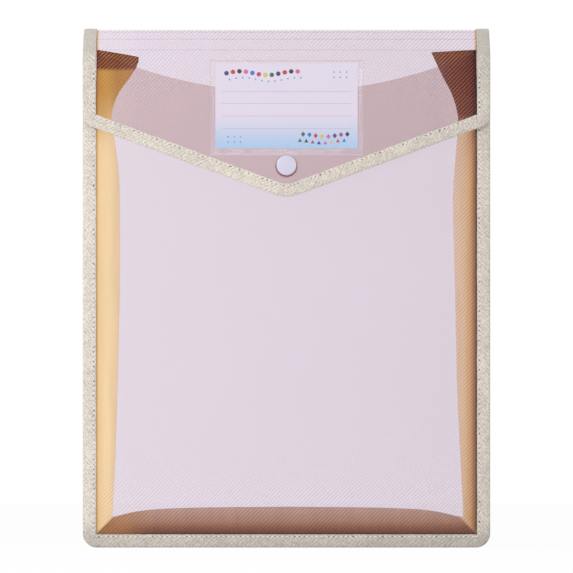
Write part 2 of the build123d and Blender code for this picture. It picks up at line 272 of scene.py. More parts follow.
class Nodes:
    """Short names for building a material's node tree."""

    def __init__(self, name):
        self.material = bpy.data.materials.new(name)
        self.material.use_nodes = True
        self.tree = self.material.node_tree
        self.tree.nodes.clear()
        self.output = self.tree.nodes.new("ShaderNodeOutputMaterial")

    def add(self, kind, **values):
        node = self.tree.nodes.new(kind)
        for key, value in values.items():
            setattr(node, key, value)
        return node

    def link(self, a, b):
        self.tree.links.new(a, b)

    def math(self, operation, a, b=None, c=None, clamp=False):
        node = self.add("ShaderNodeMath", operation=operation, use_clamp=clamp)
        for socket, value in zip(node.inputs, (a, b, c)):
            if value is None:
                continue
            if isinstance(value, (int, float)):
                socket.default_value = value
            else:
                self.link(value, socket)
        return node.outputs[0]

    def mix_color(self, fac, a, b, blend="MIX"):
        node = self.add("ShaderNodeMix", data_type="RGBA", blend_type=blend)
        for socket, value in ((node.inputs["Factor"], fac), (node.inputs[6], a), (node.inputs[7], b)):
            if isinstance(value, (int, float)):
                socket.default_value = value
            elif isinstance(value, tuple):
                socket.default_value = (*value, 1)
            else:
                self.link(value, socket)
        return node.outputs[2]

    def mix_shader(self, fac, a, b):
        node = self.add("ShaderNodeMixShader")
        if isinstance(fac, (int, float)):
            node.inputs[0].default_value = fac
        else:
            self.link(fac, node.inputs[0])
        self.link(a, node.inputs[1])
        self.link(b, node.inputs[2])
        return node.outputs[0]

    def xyz(self):
        coords = self.add("ShaderNodeTexCoord")
        split = self.add("ShaderNodeSeparateXYZ")
        self.link(coords.outputs["Object"], split.inputs[0])
        return split.outputs, coords

    def noise(self, coords, scale):
        node = self.add("ShaderNodeTexNoise")
        node.inputs["Scale"].default_value = scale
        self.link(coords.outputs["Object"], node.inputs["Vector"])
        return node.outputs[0]

    def bump(self, height, strength, distance):
        node = self.add("ShaderNodeBump")
        node.inputs["Strength"].default_value = strength
        node.inputs["Distance"].default_value = distance
        self.link(height, node.inputs["Height"])
        return node.outputs[0]

    def ribs(self, along):
        """A wave from -1 to 1, one for each rib of the film."""
        return self.math("SINE", self.math("MULTIPLY", along, 2 * math.pi / RIB_PERIOD))

    def product(self, first, *others):
        for other in others:
            first = self.math("MULTIPLY", first, other)
        return first

    def one_layer(self, sheet):
        """Finishes a thin solid's material, so that a ray meets each layer of film once."""
        inner = self.add("ShaderNodeBsdfTransparent")
        facing = self.add("ShaderNodeNewGeometry")
        both = self.mix_shader(facing.outputs["Backfacing"], sheet, inner.outputs[0])
        self.link(both, self.output.inputs[0])
        return self.material

    def smooth(self, value, low, high):
        node = self.add("ShaderNodeMapRange", interpolation_type="SMOOTHSTEP")
        self.link(value, node.inputs["Value"])
        node.inputs["From Min"].default_value = low
        node.inputs["From Max"].default_value = high
        return node.outputs["Result"]


PEARL = (0.5, 0.36, 0.5)
PASSES = (0.88, 0.836, 0.88)
UNDER_FILMS_SHADE = (0.9, 0.815, 0.715)
BROWN_EDGE = (0.86, 0.66, 0.5)
SNAP_PAINTED_SHADOW = (0.4, 0.22, 0.2)
SKIN_SHARE = 0.065
EAR_SKIN_LOSS = 0.6
SIDE_RIBS = 0.015
FAINT_RIBS = 0.004
PAINTED_SHADE_ACROSS = 0.2


def film_material(name, ribs_low, ribs_high, rib_side=1, painted_snap_shadow=False):
    """Pearly see-through film with slanting ribs; painted shade makes it browner where it lies under two
    other films and slightly darker towards the right, and it can carry a painted shadow round the snap.
    """
    n = Nodes(name)
    (x, _, z), coords = n.xyz()
    from_middle = n.math("ABSOLUTE", x)
    down = n.math("MULTIPLY", z, -1)
    wave = n.ribs(n.math("MULTIPLY_ADD", x, rib_side, down))
    patches = n.noise(coords, 14)

    # Ribs show at the top, the bottom and the right side
    high = n.product(n.smooth(z, 0.275, 0.3), ribs_high)
    low = n.product(n.smooth(down, -0.06, -0.03), ribs_low)
    strength = n.math("MAXIMUM", high, low)
    strength = n.math("MAXIMUM", strength, n.product(n.smooth(x, 0.1, half_width - 0.01), SIDE_RIBS))
    strength = n.product(n.math("ADD", strength, FAINT_RIBS), n.math("ADD", patches, 0.5))
    shade = n.math("MULTIPLY_ADD", wave, strength, n.math("MULTIPLY_ADD", strength, 0.1, 1.0))
    # Painted shade: the film darkens slightly towards its right side.
    shade = n.math("MULTIPLY_ADD", n.product(x, shade), -PAINTED_SHADE_ACROSS, shade)

    # The clear pocket's two faces don't count as films above this one
    in_height = n.product(n.math("GREATER_THAN", z, pocket_low[2]), n.math("LESS_THAN", z, pocket_high[2]))
    behind_pocket = n.product(n.math("LESS_THAN", from_middle, pocket_high[0]), in_height)
    # Painted shade: the film turns browner where a ray has already crossed two other films, for the shade
    # under them.
    light_path = n.add("ShaderNodeLightPath")
    crossed = n.math("SUBTRACT", light_path.outputs["Transparent Depth"], n.product(behind_pocket, 2))
    shaded_under_films = n.math("GREATER_THAN", crossed, 3.5)
    through = n.mix_color(shaded_under_films, PASSES, tuple(a * b for a, b in zip(PASSES, UNDER_FILMS_SHADE)))

    by_tape = n.smooth(from_middle, seam_x - 1.6 * MM, seam_x - 0.3 * MM)
    through = n.mix_color(n.product(by_tape, n.smooth(z, 0.309, 0.312)), through, BROWN_EDGE)
    if painted_snap_shadow:
        # Painted shadow: a brown ring round and just below the snap cap.
        drop = n.math("SUBTRACT", z, snap_z - 0.6 * MM)
        away = n.math("SQRT", n.math("ADD", n.product(x, x), n.product(drop, drop)))
        near = n.smooth(n.product(away, -1), -7.5 * MM, -6.4 * MM)
        through = n.mix_color(near, through, SNAP_PAINTED_SHADOW)
    through = n.mix_color(1.0, through, shade, "MULTIPLY")
    clear = n.add("ShaderNodeBsdfTransparent")
    n.link(through, clear.inputs[0])

    body = n.add("ShaderNodeBsdfPrincipled")
    brighter = tuple(min(1, c * 1.1) for c in PEARL)
    n.link(n.mix_color(n.smooth(patches, 0.35, 0.65), PEARL, brighter), body.inputs["Base Color"])
    body.inputs["Roughness"].default_value = 0.3
    body.inputs["Coat Weight"].default_value = 0.2
    n.link(n.bump(wave, 0.3, 0.1 * MM), body.inputs["Normal"])
    ear = n.product(n.smooth(from_middle, 0.092, 0.108), n.smooth(z, 0.262, 0.27))
    skin = n.math("MULTIPLY_ADD", ear, -EAR_SKIN_LOSS * SKIN_SHARE, SKIN_SHARE)
    return n.one_layer(n.mix_shader(skin, clear.outputs[0], body.outputs[0]))


# Amber of the gusset with painted light and shade, as (mm from the tape, colour seen through both of its
# leaves): painted light makes the left gold, painted shade makes the right and the bottom browner, and each
# strip is painted darkest along the tape
TINT_REACH = 20
LEFT_AMBER_PAINTED_LIGHT_AND_SHADE = [
    (0, (0.55, 0.28, 0.06)),
    (1, (0.95, 0.74, 0.33)),
    (6, (1.02, 0.86, 0.48)),
    (11, (0.95, 0.78, 0.43)),
    (16, (0.9, 0.7, 0.43)),
]
RIGHT_AMBER_PAINTED_SHADE = [
    (0, (0.06, 0.015, 0.0)),
    (1.2, (0.3, 0.13, 0.04)),
    (4, (0.64, 0.39, 0.15)),
    (8, (0.76, 0.57, 0.33)),
    (13, (0.82, 0.62, 0.45)),
]
BOTTOM_AMBER_PAINTED_SHADE = [
    (0, (0.03, 0.01, 0.0)),
    (1.2, (0.14, 0.05, 0.015)),
    (4, (0.25, 0.1, 0.035)),
    (8, (0.41, 0.23, 0.13)),
    (15, (0.52, 0.36, 0.27)),
]
BOTTOM_LEFT_PAINTED_LIGHT = (0.62, 0.36, 0.1)
LEFT_TOP_PAINTED_SHADE = (0.84, 0.7, 0.3)
LEFT_EAR_PAINTED_SHADE = (0.5, 0.3, 0.22)
RIGHT_EAR_PAINTED_SHADE = (0.4, 0.2, 0.1)
# Two leaves show about PAIR_SQUARE times a leaf's tint squared, and PAIR_LINEAR times the tint
PAIR_SQUARE = 0.457
PAIR_LINEAR = 0.5


def leaf_tint(seen):
    """One leaf's tint, from what both leaves show."""
    return (math.sqrt(PAIR_LINEAR**2 + 4 * PAIR_SQUARE * seen) - PAIR_LINEAR) / (2 * PAIR_SQUARE)


def tint_ramp(n, value, stops):
    node = n.add("ShaderNodeValToRGB")
    n.link(n.math("MULTIPLY", value, 1 / (TINT_REACH * MM)), node.inputs[0])
    elements = node.color_ramp.elements
    while len(elements) < len(stops):
        elements.new(0.5)
    for element, (at, colour) in zip(elements, stops):
        element.position = at / TINT_REACH
        element.color = (*map(leaf_tint, colour), 1)
    return node.outputs[0]


def amber_material(name):
    """Amber gusset film with painted light and shade: gold on the left, browner on the right and below,
    darkest by the tape, dark and ribbed at the ears, with a small painted glow of its own.
    """
    n = Nodes(name)
    (x, _, z), coords = n.xyz()
    from_side = n.math("SUBTRACT", seam_x, n.math("ABSOLUTE", x))
    from_base = n.math("SUBTRACT", z, tape_width)
    on_right = n.smooth(x, -0.001, 0.001)
    on_left = n.math("SUBTRACT", 1, on_right)

    def paint_shade(colour, where, tint):
        return n.mix_color(where, colour, n.mix_color(1.0, colour, tint, "MULTIPLY"))

    # Painted light and shade: each strip darkens towards the tape, the right and bottom are painted browner
    # than the gold left, and the bottom's left end is painted lighter and more orange.
    base = tint_ramp(n, from_base, BOTTOM_AMBER_PAINTED_SHADE)
    left_end = n.product(n.smooth(n.product(x, -1), 0.08, 0.112), 0.6)
    base = n.mix_color(left_end, base, BOTTOM_LEFT_PAINTED_LIGHT)
    sides = n.mix_color(on_right, tint_ramp(n, from_side, LEFT_AMBER_PAINTED_LIGHT_AND_SHADE), tint_ramp(n, from_side, RIGHT_AMBER_PAINTED_SHADE))
    on_sides = n.smooth(n.math("SUBTRACT", from_base, from_side), -0.0012, 0.0012)
    colour = n.mix_color(on_sides, base, sides)
    left_ear = n.product(n.smooth(z, 0.302, 0.305), on_left)
    right_ear = n.product(n.smooth(z, 0.262, 0.276), on_right)
    # Painted shade: the left side turns darker and more orange towards the top, and both ears turn dark
    # brown.
    colour = paint_shade(colour, n.product(n.smooth(z, 0.25, 0.292), on_left), LEFT_TOP_PAINTED_SHADE)
    colour = paint_shade(colour, left_ear, LEFT_EAR_PAINTED_SHADE)
    colour = paint_shade(colour, right_ear, RIGHT_EAR_PAINTED_SHADE)

    streaks = n.add("ShaderNodeTexNoise")
    streaks.inputs["Scale"].default_value = 1.0
    stretch = n.add("ShaderNodeMapping")
    stretch.inputs["Scale"].default_value = (260, 30, 16)
    n.link(coords.outputs["Object"], stretch.inputs["Vector"])
    n.link(stretch.outputs[0], streaks.inputs["Vector"])
    soft = n.math("MULTIPLY_ADD", streaks.outputs[0], 0.22, 0.89)
    wave = n.ribs(n.math("SUBTRACT", x, z))
    ribbed = n.math("MAXIMUM", n.product(left_ear, 0.7), n.product(right_ear, 0.6))
    off_left = n.math("MAXIMUM", on_right, n.math("SUBTRACT", 1, on_sides))
    ribbed = n.math("ADD", n.math("MAXIMUM", ribbed, n.product(off_left, 0.09)), 0.01)
    shade = n.product(soft, n.math("MULTIPLY_ADD", wave, ribbed, 1.0))
    colour = n.mix_color(1.0, colour, shade, "MULTIPLY")

    clear = n.add("ShaderNodeBsdfTransparent")
    n.link(colour, clear.inputs[0])
    body = n.add("ShaderNodeBsdfPrincipled")
    n.link(colour, body.inputs["Base Color"])
    body.inputs["Roughness"].default_value = 0.25
    # Painted light: the gusset glows a little in its own colour.
    n.link(colour, body.inputs["Emission Color"])
    body.inputs["Emission Strength"].default_value = 0.33
    through = n.add("ShaderNodeBsdfTranslucent")
    n.link(colour, through.inputs["Color"])
    skin = n.mix_shader(0.3, body.outputs[0], through.outputs[0])
    return n.one_layer(n.mix_shader(0.5, clear.outputs[0], skin))


WALE_PERIOD = 2.7 * MM


def tape_material(name, light, dark):
    """Cream twill tape with slanting wales and a hairy, mottled face, and painted shade that makes it greyer
    at its top, foot and right.
    """
    n = Nodes(name)
    (x, _, z), coords = n.xyz()
    split = n.add("ShaderNodeSeparateXYZ")
    n.link(coords.outputs["UV"], split.inputs[0])
    slant = n.math("ADD", split.outputs[0], split.outputs[1])
    waver = n.math("SUBTRACT", n.noise(coords, 260), 0.5)
    along = n.math("MULTIPLY_ADD", waver, 2.6 * MM, slant)
    wale = n.math("SINE", n.product(along, 2 * math.pi / WALE_PERIOD))
    grain = n.add("ShaderNodeTexNoise")
    grain.inputs["Scale"].default_value = 1000
    grain.inputs["Detail"].default_value = 3
    n.link(coords.outputs["Object"], grain.inputs["Vector"])
    grain = grain.outputs[0]

    tone = n.math("MULTIPLY_ADD", wale, 0.13, 0.56)
    tone = n.math("ADD", tone, n.product(n.math("SUBTRACT", grain, 0.5), 1.9))
    stain = n.product(n.math("SUBTRACT", n.noise(coords, 60), 0.5), 0.5)
    tone = n.math("ADD", tone, stain, clamp=True)
    # Painted shade: the tape darkens towards its foot, its top and its right side.
    at_foot = n.math("MULTIPLY_ADD", n.smooth(z, 0.004, 0.02), 0.22, 0.74)
    at_top = n.math("MULTIPLY_ADD", n.smooth(z, 0.24, 0.3), -0.1, 1.0)
    to_right = n.math("MULTIPLY_ADD", n.smooth(x, -0.1, 0.12), -0.1, 1.0)
    painted_shade = n.product(at_foot, at_top, to_right)
    colour = n.mix_color(1.0, n.mix_color(tone, dark, light), painted_shade, "MULTIPLY")

    cloth = n.add("ShaderNodeBsdfPrincipled")
    n.link(colour, cloth.inputs["Base Color"])
    cloth.inputs["Roughness"].default_value = 0.85
    cloth.inputs["Sheen Weight"].default_value = 0.2
    height = n.math("MULTIPLY_ADD", grain, 1.6, n.product(wale, 0.5))
    n.link(n.bump(height, 0.6, 0.2 * MM), cloth.inputs["Normal"])
    n.link(cloth.outputs[0], n.output.inputs[0])
    return n.material


def plain_material(name, colour, roughness=0.5, coat=0.0, grain=0.06, sheen=0.0):
    """A smooth coloured surface with a faint mottle."""
    n = Nodes(name)
    spots = n.noise(n.add("ShaderNodeTexCoord"), 300)
    body = n.add("ShaderNodeBsdfPrincipled")
    darker = tuple(c * (1 - grain) for c in colour)
    lighter = tuple(min(1, c * (1 + grain)) for c in colour)
    n.link(n.mix_color(spots, darker, lighter), body.inputs["Base Color"])
    n.link(n.math("MULTIPLY_ADD", spots, 0.12, roughness - 0.06), body.inputs["Roughness"])
    body.inputs["Coat Weight"].default_value = coat
    body.inputs["Sheen Weight"].default_value = sheen
    n.link(body.outputs[0], n.output.inputs[0])
    return n.material


def clear_material(name):
    """Clear pocket film: nearly all see-through, with a wet-looking gloss and a milky edge."""
    n = Nodes(name)
    waves = n.noise(n.add("ShaderNodeTexCoord"), 30)
    body = n.add("ShaderNodeBsdfPrincipled")
    body.inputs["Base Color"].default_value = (0.86, 0.8, 0.86, 1)
    n.link(n.math("MULTIPLY_ADD", waves, 0.15, 0.1), body.inputs["Roughness"])
    n.link(n.bump(waves, 0.03, 0.4 * MM), body.inputs["Normal"])
    clear = n.add("ShaderNodeBsdfTransparent")
    clear.inputs[0].default_value = (0.985, 0.975, 0.985, 1)
    rim = n.add("ShaderNodeLayerWeight")
    rim.inputs["Blend"].default_value = 0.25
    share = n.math("MULTIPLY_ADD", rim.outputs["Facing"], 0.15, 0.045, clamp=True)
    return n.one_layer(n.mix_shader(share, clear.outputs[0], body.outputs[0]))


pearl_film = film_material("pearl_film", 0.05, 0.0)
flap_film = film_material("flap_film", 0.0, 0.045, painted_snap_shadow=True)
back_film = film_material("back_film", 0.004, 0.012, rib_side=-1)
amber_film = amber_material("amber_film")
cream_tape = tape_material("cream_tape", (0.84, 0.775, 0.69), (0.46, 0.41, 0.36))
thread = plain_material("thread", (0.86, 0.83, 0.76), 0.7, sheen=0.3)
# Painted shade: the needle holes are near-black beads that stand for the shade inside the holes.
hole = plain_material("stitch_hole", (0.1, 0.085, 0.075), 0.9)
pearl_plastic = plain_material("pearl_plastic", (0.57, 0.55, 0.69), 0.2, coat=0.8, grain=0.03)
clear_pocket = clear_material("clear_pocket")


def dress(obj, material, body, slot, *nodes):
    obj.data.materials.clear()
    obj.data.materials.append(material)
    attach(obj, body)
    if nodes:
        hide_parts(*nodes)


# Camera, light and stage

target = Vector((0, flap_y, 0.1653))
distance = 6.0
picture_pixels = 573
pixel = 0.633 * MM
sensor = 36
camera = bpy.data.objects.new("camera", bpy.data.cameras.new("camera"))
camera.location = target + Vector((0, -distance, 0))
camera.rotation_euler = (math.pi / 2, 0, 0)
camera.data.lens = sensor * distance / (picture_pixels * pixel)
camera.data.clip_end = 50
bpy.context.scene.collection.objects.link(camera)
bpy.context.scene.camera = camera


def area_light(name, place, aim, size, power):
    light = bpy.data.objects.new(name, bpy.data.lights.new(name, "AREA"))
    light.data.size = size
    light.data.energy = power
    light.location = place
    light.rotation_euler = (Vector(aim) - Vector(place)).to_track_quat("-Z", "Y").to_euler()
    bpy.context.scene.collection.objects.link(light)


area_light("key", (-1.6, -1.5, 1.3), (0, 0, 0.16), 1.2, 34)
area_light("fill", (1.5, -1.8, 0.7), (0, 0, 0.16), 1.6, 12)

world = bpy.data.worlds.new("studio")
bpy.context.scene.world = world
world.use_nodes = True
tree = world.node_tree
tree.nodes.clear()
paths = tree.nodes.new("ShaderNodeLightPath")
seen = tree.nodes.new("ShaderNodeMath")
seen.operation = "MAXIMUM"
tree.links.new(paths.outputs["Is Camera Ray"], seen.inputs[0])
glossy = tree.nodes.new("ShaderNodeMath")
glossy.operation = "MAXIMUM"
tree.links.new(paths.outputs["Is Glossy Ray"], glossy.inputs[0])
tree.links.new(paths.outputs["Is Transmission Ray"], glossy.inputs[1])
tree.links.new(glossy.outputs[0], seen.inputs[1])
lit = tree.nodes.new("ShaderNodeBackground")
lit.inputs[0].default_value = (1, 1, 1, 1)
lit.inputs[1].default_value = 0.55
white = tree.nodes.new("ShaderNodeBackground")
white.inputs[0].default_value = (1, 1, 1, 1)
white.inputs[1].default_value = 1.0
mix = tree.nodes.new("ShaderNodeMixShader")
tree.links.new(seen.outputs[0], mix.inputs[0])
tree.links.new(lit.outputs[0], mix.inputs[1])
tree.links.new(white.outputs[0], mix.inputs[2])
out = tree.nodes.new("ShaderNodeOutputWorld")
tree.links.new(mix.outputs[0], out.inputs[0])

bpy.context.scene.view_settings.view_transform = "Standard"
bpy.context.scene.cycles.transparent_max_bounces = 40

floor_size = 1.2
corners = [(-1, -1), (1, -1), (1, 1), (-1, 1)]
floor_corners = [(floor_size * x, floor_size * y, 0) for x, y in corners]
floor = new_object("floor", floor_corners, [(0, 1, 2, 3)], smooth=False)
n = Nodes("floor")
matte = n.add("ShaderNodeBsdfDiffuse")
matte.inputs[0].default_value = (0.93, 0.93, 0.93, 1)
glow = n.add("ShaderNodeEmission")
ray = n.add("ShaderNodeLightPath")
mirrored = n.math("MAXIMUM", ray.outputs["Is Glossy Ray"], ray.outputs["Is Transmission Ray"])
watched = n.math("MAXIMUM", ray.outputs["Is Camera Ray"], mirrored)
n.link(n.mix_shader(n.math("MULTIPLY", watched, 0.94), matte.outputs[0], glow.outputs[0]), n.output.inputs[0])
floor.data.materials.append(n.material)


# Woven tape, folded over the edges


STITCH_PITCH = 3.1 * MM
STITCH_INSET = 1.3 * MM


def tape_ring(point, inward, facing, half, wobble, lift=0.0):
    """One C-shaped section of the folded tape, closed, and each corner's way across the tape."""
    reach = tape_width
    seamline = reach - STITCH_INSET
    section = [
        (reach + wobble, half - 0.12 * MM + lift),
        (reach - 0.4 * MM + wobble, half + 0.02 * MM + lift),
        (seamline, half - 0.1 * MM + lift),
        (reach - 2.4 * MM, half + 0.06 * MM + lift),
        (reach * 0.45, half + 0.1 * MM + lift),
        (1.2 * MM, half + lift),
        (0.35 * MM, half * 0.72 + lift * 0.5),
        (0, half * 0.3),
        (0, -half * 0.3),
        (0.35 * MM, -half * 0.72),
        (1.2 * MM, -half),
        (reach * 0.45, -half - 0.1 * MM),
        (reach - 2.4 * MM, -half - 0.06 * MM),
        (seamline, -half + 0.1 * MM),
        (reach - 0.4 * MM - wobble, -half - 0.02 * MM),
        (reach - wobble, -half + 0.12 * MM),
        (reach - wobble, -half + tape * 0.9),
        (tape, -half + tape * 0.9),
        (tape, half - tape * 0.9),
        (reach + wobble, half - tape * 0.9 + lift),
    ]
    ring = [point + inward * across + facing * out for across, out in section]
    ways = []
    travelled = 0.0
    for i, corner in enumerate(section):
        if i:
            travelled += math.dist(corner, section[i - 1])
        ways.append(travelled)
    return ring, ways


def edge_tape(name, samples, y, half, laps):
    """Tape along a path in the XZ plane. laps lists the distances where one length laps the next."""
    rings, uvs = [], []
    facing = Vector((0, -1, 0))
    for point, tangent, along in samples:
        inward = Vector((-tangent.y, 0, tangent.x))
        place = Vector((point.x, y, point.y))
        pulled_in = 0.06 * MM * math.cos(2 * math.pi * along / STITCH_PITCH)
        wobble = 0.16 * MM * noise.noise(place * 260) + pulled_in
        lift = 0.06 * MM * noise.noise(place * 90 + Vector((7, 3, 1)))
        for at in laps:
            if along > at:
                lift += 0.45 * MM * math.exp(-(along - at) / (5 * MM))
        ring, ways = tape_ring(place, inward, facing, half, wobble, lift)
        rings.append(ring)
        uvs.append([(along, way) for way in ways])
    return swept(name, rings, uvs)


class Stitches:
    """A run of thread stitches with their needle holes, gathered into two meshes."""

    def __init__(self):
        self.thread, self.holes = ([], []), ([], [])

    def _bead(self, store, centre, along, across, out, length, width, height, sides=6, rings=4):
        vertices, faces = store
        base = len(vertices)
        for r in range(rings + 1):
            t = r / rings
            swell = max(0.25, math.sin(math.pi * (0.12 + 0.76 * t)))
            for s in range(sides):
                a = 2 * math.pi * s / sides
                vertices.append(
                    centre
                    + along * length * (t - 0.5)
                    + across * width / 2 * swell * math.cos(a)
                    + out * height / 2 * swell * math.sin(a)
                )
        for r in range(rings):
            for s in range(sides):
                a, b = base + r * sides + s, base + r * sides + (s + 1) % sides
                faces.append((a, b, b + sides, a + sides))
        faces.append(tuple(base + s for s in range(sides))[::-1])
        faces.append(tuple(base + rings * sides + s for s in range(sides)))

    def stitch(self, centre, along, across, out):
        length = STITCH_PITCH * 0.68
        self._bead(self.thread, centre + out * 0.02 * MM, along, across, out, length, 0.42 * MM, 0.34 * MM)
        # Painted shade at each needle hole: a flat dark bead on the tape.
        hole_at = centre + along * STITCH_PITCH / 2 + out * 0.05 * MM
        pull = 0.35 + 0.95 * max(0.0, noise.noise(centre * 700) + 0.25)
        length, width = 1.1 * MM * pull, 0.75 * MM * pull
        self._bead(self.holes, hole_at, along, across, out, length, width, 0.18 * MM, rings=2)

    def run(self, samples, place_of):
        """Sets a stitch every pitch along samples; place_of turns a sample into centre and directions."""
        due = STITCH_PITCH / 2
        for (p0, t0, s0), (p1, t1, s1) in zip(samples, samples[1:]):
            while s0 <= due < s1:
                share = (due - s0) / (s1 - s0)
                drift = 0.08 * MM * math.sin(due * 900)
                self.stitch(*place_of(p0.lerp(p1, share), t0.lerp(t1, share).normalized(), drift))
                due += STITCH_PITCH

    def make(self, name, body):
        for kind, store, material in (("thread", self.thread, thread), ("holes", self.holes, hole)):
            obj = new_object(f"{name}_{kind}", *store)
            outward(obj)
            dress(obj, material, body, "binding_tape")


def flat_stitches(name, samples, y, half, body):
    """Stitches on the front and rear face of a tape in the XZ plane."""
    stitches = Stitches()
    for out in (Vector((0, -1, 0)), Vector((0, 1, 0))):

        def place_of(point, tangent, drift, out=out):
            inward = Vector((-tangent.y, 0, tangent.x))
            along = Vector((tangent.x, 0, tangent.y))
            centre = Vector((point.x, y, point.y)) + inward * (tape_width - STITCH_INSET + drift)
            return centre + out * (half - 0.02 * MM), along, inward, out

        stitches.run(samples, place_of)
    stitches.make(name, body)


sample_step = 1.55 * MM
bag_half = film + tape
single_half = film / 2 + tape

crease_start = 12 * MM
crease_end = 8 * MM
back_top = creases[0].z - crease_start
flap_top = creases[3].z - crease_end
wing_tape_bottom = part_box("front_binding")[1][2]


def middle_of_bend(samples):
    """Distances at which the path is halfway round each of its corners."""
    turns = []
    for (p0, t0, s0), (p1, t1, s1) in zip(samples, samples[1:]):
        if t0.angle(t1) > 1e-4:
            if turns and s0 - turns[-1][-1] < 2 * sample_step:
                turns[-1].append(s1)
            else:
                turns.append([s0, s1])
    return [(group[0] + group[-1]) / 2 for group in turns]


def bound_edge(part, body, points, radii, y, half, laps):
    """Tape and stitching round one sheet; laps picks the corners where a new length starts."""
    path = rounded_path([Vector(p) for p in points], radii, sample_step)
    bends = middle_of_bend(path)
    tape_piece = edge_tape(f"{part}_tape", path, y, half, [bends[i] for i in laps])
    dress(tape_piece, cream_tape, body, "binding_tape", f"{part}_binding")
    flat_stitches(f"{part}_stitch", path, y, half, body)


def bag_edge(top):
    """Corners of the bag's bound edge, from one top end round the bottom to the other."""
    return [(-half_width, top), (-half_width, 0), (half_width, 0), (half_width, top)]


flap_corners = [
    (-half_width, flap_top),
    (-half_width, shoulder_z),
    (0, shoulder_z - half_width * math.tan(flap_slope)),
    (half_width, shoulder_z),
    (half_width, flap_top),
]
flap_radii = [shoulder_radius, tip_radius, shoulder_radius]
bag_radii = [corner_radius] * 2
bound_edge("back", "back", bag_edge(back_top), bag_radii, back_y - film / 2, bag_half, (0, 1))
bound_edge("front", "front", bag_edge(wing_tape_bottom), bag_radii, front_y + film / 2, bag_half, (0, 1))
bound_edge("flap", "flap", flap_corners, flap_radii, flap_y, single_half, (0, -1))

# Creased sheet: film and tape that bend across each crease


def crease_profile(n):
    """Samples (point, normal, distance) across crease n, from the middle of one band to the next."""
    corner = Vector((creases[n].y, creases[n].z))
    before = Vector((creases[n - 1].y, creases[n - 1].z)) if n else corner - Vector((0, 2 * crease_start))
    after = Vector((creases[n + 1].y, creases[n + 1].z)) if n < 3 else corner - Vector((0, 2 * crease_end))
    start, end = (before + corner) / 2, (corner + after) / 2
    samples = rounded_path([start, corner, end], [crease_radius], 1.2 * MM)
    return [(point, Vector((-tangent.y, tangent.x)) * -1, along) for point, tangent, along in samples]


def across_crease(n, reach=2.2 * MM):
    """The two points between which a piece turns over crease n."""
    corner = Vector((0, creases[n].y, creases[n].z))
    profile = crease_profile(n)
    first, last = profile[0][0], profile[-1][0]
    d0 = (corner - Vector((0, first.x, first.y))).normalized()
    d1 = (Vector((0, last.x, last.y)) - corner).normalized()
    return tuple(corner - d0 * reach), tuple(corner + d1 * reach)


film_half_width = half_width - tape


def along_crease(profile, x, s):
    """Point and normal of the creased sheet at a distance across it."""
    for (p0, n0, s0), (p1, n1, s1) in zip(profile, profile[1:]):
        if s <= s1 + 1e-9:
            share = (s - s0) / (s1 - s0)
            p, normal = p0.lerp(p1, share), n0.lerp(n1, share).normalized()
            return Vector((x, p.x, p.y)), Vector((0, normal.x, normal.y))
    p, normal, _ = profile[-1]
    return Vector((x, p.x, p.y)), Vector((0, normal.x, normal.y))


def turn_over(piece, n, node):
    """Bakes a piece's placement into its mesh and hides the CAD node it stands in for; the lowest crease
    takes no node's place.
    """
    across_crease(n)
    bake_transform(piece)
    if n < 3:
        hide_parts(f"{node}_{n + 1}")


def crease_film(n):
    profile = crease_profile(n)
    xs = [film_half_width * (2 * i / 16 - 1) for i in range(17)]
    sheet = plate(
        f"crease_film_{n + 1}",
        xs,
        lambda x: 0,
        lambda x: profile[-1][2],
        lambda x, s: along_crease(profile, x, s),
        40,
    )
    sheet.data.materials.append(flap_film)
    turn_over(sheet, n, "roof_band")


def crease_tape(n, side, mark):
    profile = crease_profile(n)
    rings, uvs = [], []
    for point, normal, along in profile:
        place = Vector((side * half_width, point.x, point.y))
        wobble = 0.12 * MM * noise.noise(place * 260)
        facing = Vector((0, normal.x, normal.y))
        ring, ways = tape_ring(place, Vector((-side, 0, 0)), facing, single_half, wobble)
        rings.append(ring)
        uvs.append([(along + 0.1 * n, way) for way in ways])
    strip = swept(f"crease_tape_{n + 1}_{mark}", rings, uvs)
    strip.data.materials.append(cream_tape)
    turn_over(strip, n, "roof_tapes")


SIDES = ((-1, "left"), (1, "right"))
for n_crease in range(4):
    crease_film(n_crease)
    for side, mark in SIDES:
        crease_tape(n_crease, side, mark)

# Flat film: the back, the flap and the front with its leaning mouth


def columns(limit, count):
    """Places across a sheet, closer together towards its sides."""
    return [round(limit * math.sin(math.pi * (i / count - 0.5)), 7) for i in range(count + 1)]


def bag_bottom(x):
    """Lower edge of a bag film under its tape, with the round corners."""
    inset_radius = corner_radius - tape
    start = film_half_width - inset_radius
    beyond = max(0.0, abs(x) - start)
    return tape + inset_radius - math.sqrt(max(0.0, inset_radius**2 - beyond**2))


def ripple(x, z):
    return 0.35 * MM * noise.noise(Vector((x * 11, z * 8, 3)))


back_sheet = plate(
    "back_sheet",
    columns(film_half_width, 40),
    bag_bottom,
    lambda x: back_top,
    lambda x, s: (Vector((x, back_y, s)), Vector((0, 1, 0))),
    30,
)
dress(back_sheet, back_film, "back", "pearl_film", "back_panel")


def flap_low(x):
    """Lower edge of the flap's film, just inside its tape's fold."""
    reach = abs(x)
    low = shoulder_z - (half_width - reach) * math.tan(flap_slope) + tape / math.cos(flap_slope)
    in_shoulder = reach - (half_width - shoulder_radius)
    if in_shoulder > 0:
        low += in_shoulder**2 / shoulder_radius
    if reach < tip_radius * math.sin(flap_slope):
        low = max(low, tip_z + tape + tip_radius - math.sqrt(tip_radius**2 - x * x))
    return low


flap_sheet = plate(
    "flap_sheet",
    columns(film_half_width, 60),
    flap_low,
    lambda x: flap_top,
    lambda x, s: (Vector((x, flap_y, s)), Vector((0, -1, 0))),
    20,
)
dress(flap_sheet, flap_film, "flap", "pearl_film", "flap_panel")


